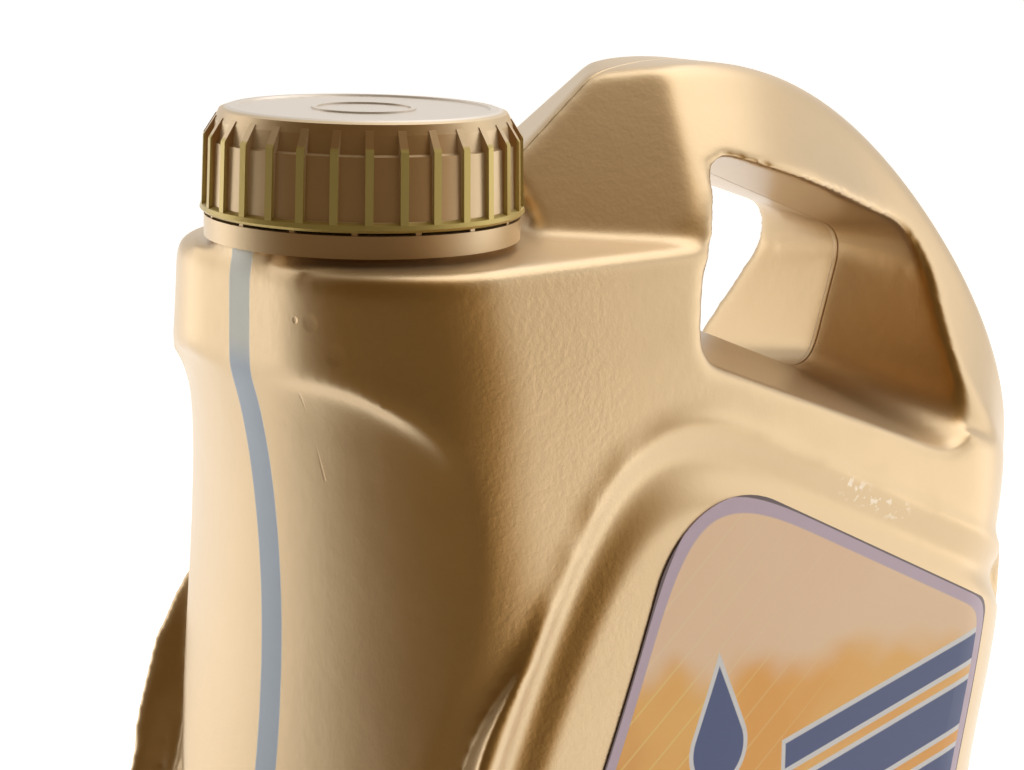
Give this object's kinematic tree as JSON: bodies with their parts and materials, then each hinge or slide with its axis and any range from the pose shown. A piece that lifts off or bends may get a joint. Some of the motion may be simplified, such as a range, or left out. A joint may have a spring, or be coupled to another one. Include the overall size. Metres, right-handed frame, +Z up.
{
  "type": "motor oil bottle",
  "caption": "Four-litre blow-moulded motor oil bottle in pearl gold plastic, with a side handle, finger hole, grip recess, ribbed screw cap, tamper ring and plain colour-field labels.",
  "frame": {"origin": "middle of the bottle's bounding box, on the resting plane", "axes": "+Z up; -X towards the narrow pouring front under the neck, +X towards the handle's back; Y across the broad sides"},
  "size_m": [0.1825, 0.0974, 0.3335],
  "materials": {
    "bottle_plastic": "satin pearl",
    "cap_plastic": "satin pearl",
    "liner_foam": "matte",
    "label_film": "gloss"
  },
  "bodies": {
    "bottle_body": {"bottle": "bottle_plastic", "tamper_ring": "cap_plastic", "front_label": "label_film", "back_label": "label_film"},
    "liner_body": {"cap_liner": "liner_foam"},
    "cap_body": {"cap": "cap_plastic"}
  },
  "joints": [
    {"name": "cap_lift", "type": "slide", "parent": "bottle_body", "child": "liner_body", "axis": [0, 0, 1], "range_m": [0, 0.006]},
    {"name": "cap_turn", "type": "hinge", "parent": "liner_body", "child": "cap_body", "pos_m": [-0.06125, 0, 0.32], "axis": [0, 0, 1], "range_deg": [0, 540]}
  ],
  "couplings": [
    {"joint": "cap_turn", "follows": "cap_lift", "rad_per_m": 1570.8}
  ]
}
